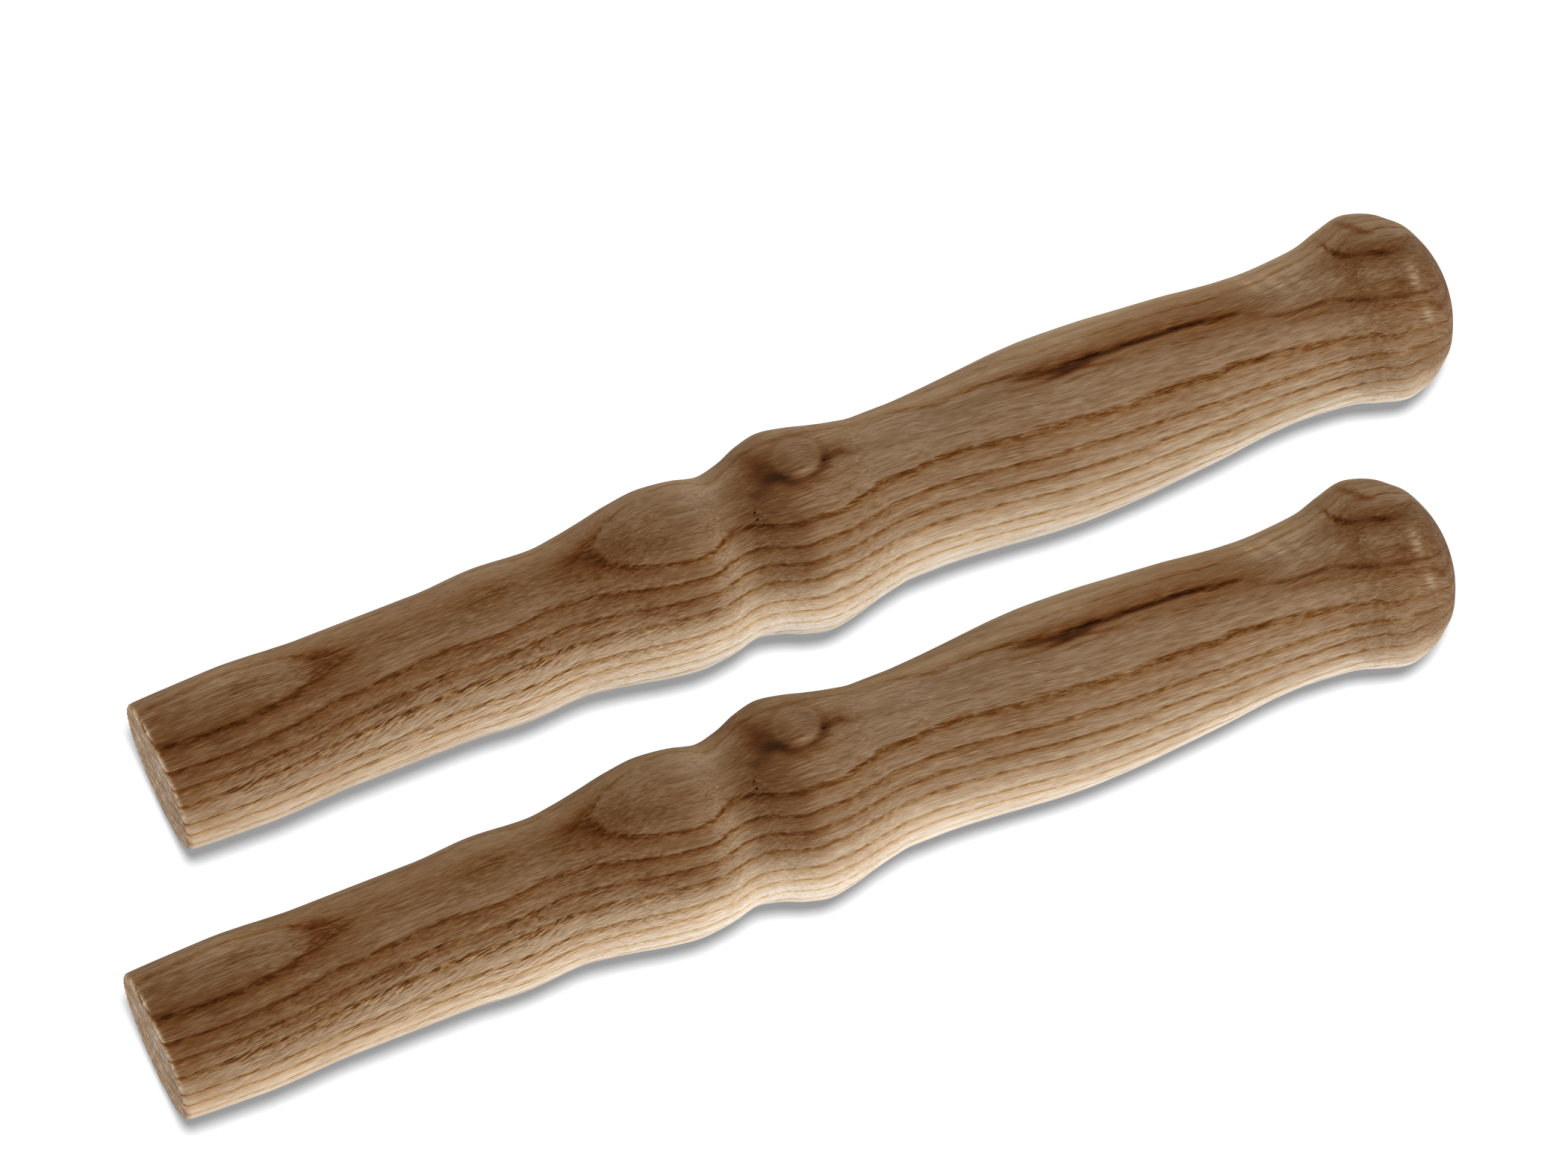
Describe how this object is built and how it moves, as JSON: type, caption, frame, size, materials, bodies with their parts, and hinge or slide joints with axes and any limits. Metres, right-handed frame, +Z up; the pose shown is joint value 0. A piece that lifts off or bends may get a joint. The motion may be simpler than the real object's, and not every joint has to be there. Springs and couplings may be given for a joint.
{
  "type": "claves",
  "caption": "Pair of turned solid hardwood percussion sticks with swelled grips, a bead and a domed knob end, lying side by side; one is struck against the other.",
  "frame": {"origin": "on the table top, under the middle of the pair's bounding box", "axes": "+X along the sticks from the sawn butts to the knobs, +Y across the pair from the striking clave to the resting clave, +Z up from the table"},
  "size_m": [0.2152, 0.0672, 0.0303],
  "materials": {
    "turned_wood": "raw turned ash-like wood, lightly sanded, unvarnished"
  },
  "bodies": {
    "resting_clave": {"resting_clave": "turned_wood"},
    "striking_clave": {"striking_clave": "turned_wood"}
  },
  "joints": [
    {"name": "strike", "type": "slide", "parent": "resting_clave", "child": "striking_clave", "axis": [0, 1, 0], "range_m": [-0.1, 0.0082]}
  ]
}
